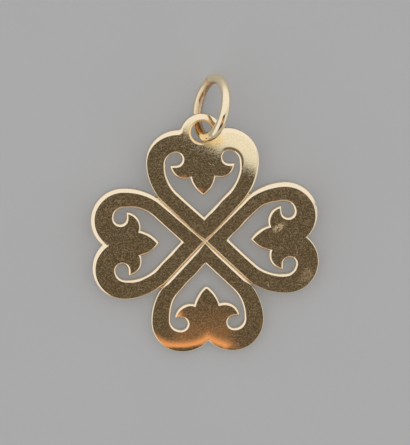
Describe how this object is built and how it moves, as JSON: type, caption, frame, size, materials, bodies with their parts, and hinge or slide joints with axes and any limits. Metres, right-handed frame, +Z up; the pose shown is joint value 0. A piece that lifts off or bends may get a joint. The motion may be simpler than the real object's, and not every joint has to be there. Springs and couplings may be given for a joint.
{
  "type": "four leaf clover pendant",
  "caption": "Pierced gold clover pendant with heart shaped leaves, bevelled edges and an eyelet that holds a round wire jump ring for a chain.",
  "frame": {"origin": "on the surface that the pendant lies on, in the middle of the rectangle that it covers", "axes": "+Z up from that surface, on the side of the clover's front face; +Y from the clover towards its jump ring; +X to the right of the clover as seen from the front"},
  "size_m": [0.025, 0.031, 0.007],
  "materials": {
    "gold_sheet": "yellow gold, polished front with worn bright bevels and fine wear scratches",
    "gold_wire": "yellow gold wire, paler and smoothly polished"
  },
  "bodies": {
    "root": {"clover_plate": "gold_sheet", "jump_ring": "gold_wire"}
  },
  "joints": []
}
